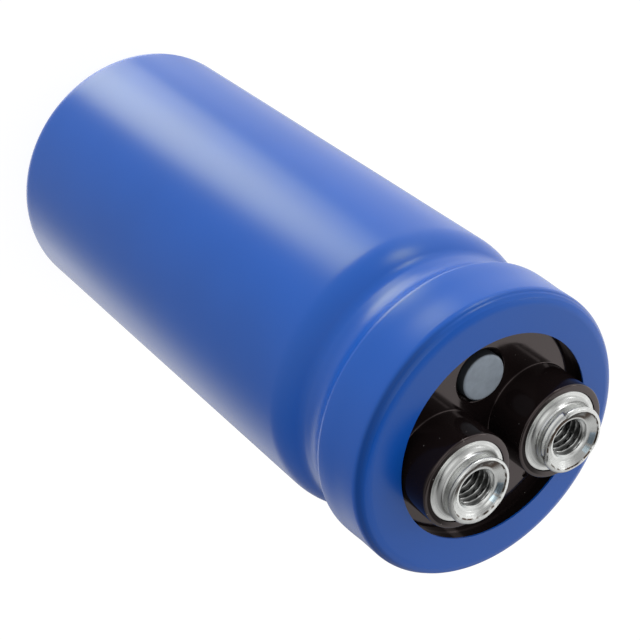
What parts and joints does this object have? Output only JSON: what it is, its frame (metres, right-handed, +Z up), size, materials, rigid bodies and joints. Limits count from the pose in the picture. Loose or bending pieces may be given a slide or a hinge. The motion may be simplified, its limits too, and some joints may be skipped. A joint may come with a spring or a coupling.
{
  "type": "electrolytic capacitor",
  "caption": "Cylindrical aluminium can capacitor in a blue shrink sleeve, with a necked groove, a recessed black deck, tapped screw terminals on pillars and a rubber vent plug.",
  "frame": {"origin": "centre of the base, on the surface that the can stands on", "axes": "+Z up the can's axis towards the terminals, +X from the left to the right terminal, +Y towards the vent plug"},
  "size_m": [0.0354, 0.0354, 0.0865],
  "materials": {
    "blue_sleeve": "glossy blue heat-shrunk film",
    "can_aluminium": "drawn aluminium, satin",
    "black_moulding": "glossy black-brown thermoset moulding",
    "black_rubber": "black rubber",
    "terminal_metal": "turned aluminium with fine tool marks",
    "grey_rubber": "grey silicone rubber, matte",
    "tab_foil": "rolled aluminium ribbon",
    "insulator_board": "pressed insulating board",
    "winding_paper": "impregnated paper and foil",
    "closing_tape": "matte adhesive tape"
  },
  "bodies": {
    "root": {"insulating_sleeve": "blue_sleeve", "can": "can_aluminium", "terminal_deck": "black_moulding", "rim_gasket": "black_rubber", "left_terminal": "terminal_metal", "right_terminal": "terminal_metal", "vent_plug": "grey_rubber", "left_rivet_washer": "terminal_metal", "right_rivet_washer": "terminal_metal", "left_tab": "tab_foil", "right_tab": "tab_foil", "top_insulator": "insulator_board", "base_insulator": "insulator_board", "foil_winding": "winding_paper", "winding_tape": "closing_tape"}
  },
  "joints": []
}
